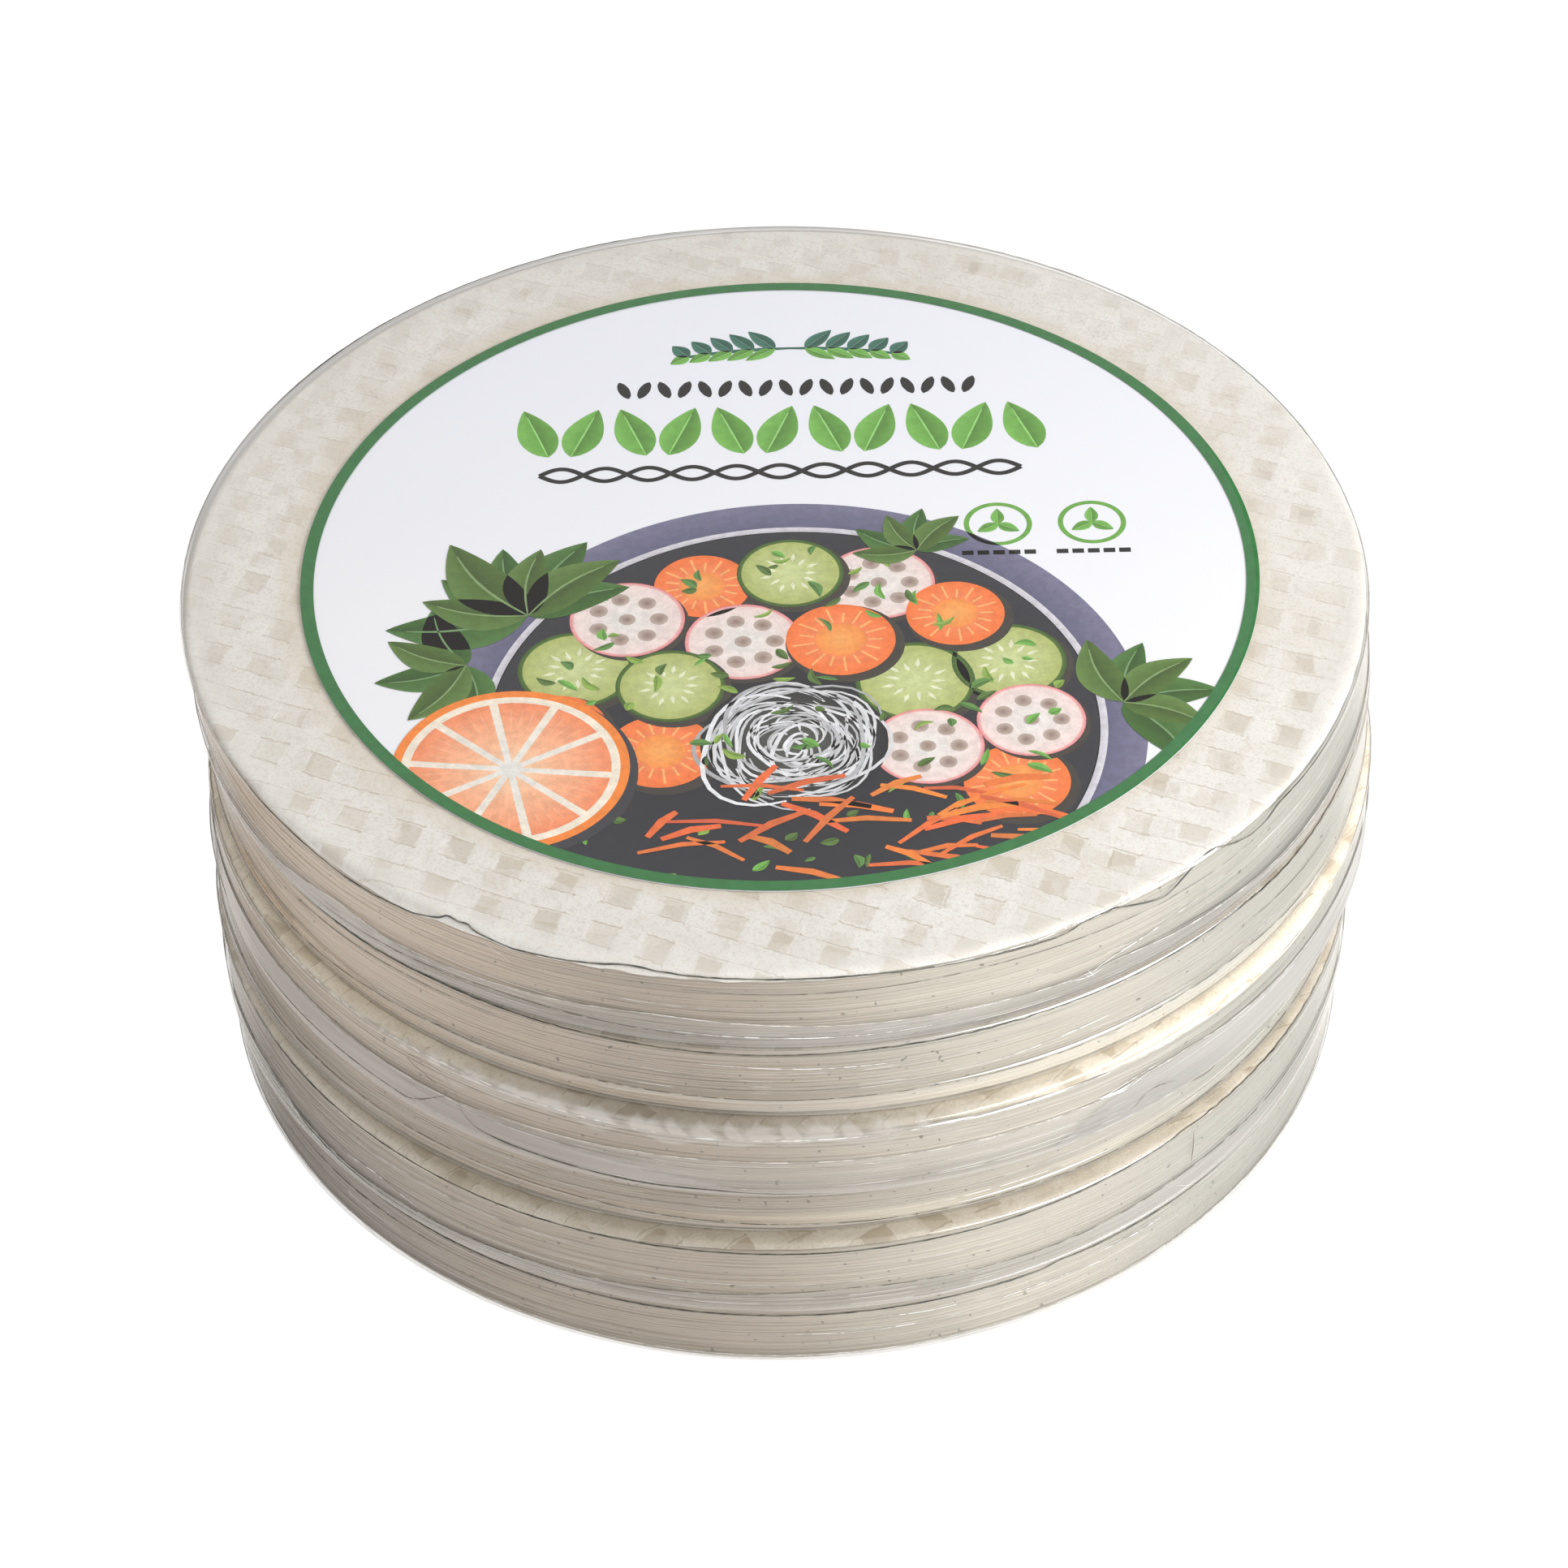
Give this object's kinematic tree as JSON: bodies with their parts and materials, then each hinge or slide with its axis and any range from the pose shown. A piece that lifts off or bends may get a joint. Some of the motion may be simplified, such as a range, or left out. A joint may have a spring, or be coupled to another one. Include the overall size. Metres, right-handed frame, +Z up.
{
  "type": "rice paper wrapper stack",
  "caption": "Stack of round packs of dry rice paper wrappers, each shrink-wrapped in clear film, with a round paper label on the top pack.",
  "frame": {"origin": "on the surface that the stack stands on, under the middle of its outline", "axes": "+Z up through the packs, -Y towards the front, so the label's foot is at -Y; +X to the right"},
  "size_m": [0.2258, 0.2296, 0.1002],
  "materials": {
    "rice_paper": "dry translucent rice sheet with a woven-mat imprint",
    "clear_film": "thin clear glossy shrink film with welded seams",
    "label_paper": "satin coated white paper with a printed green border"
  },
  "bodies": {
    "root": {"pack_1": "rice_paper", "pack_2": "rice_paper", "pack_3": "rice_paper", "pack_4": "rice_paper", "pack_5": "rice_paper", "pack_6": "rice_paper", "label": "label_paper"}
  },
  "joints": []
}
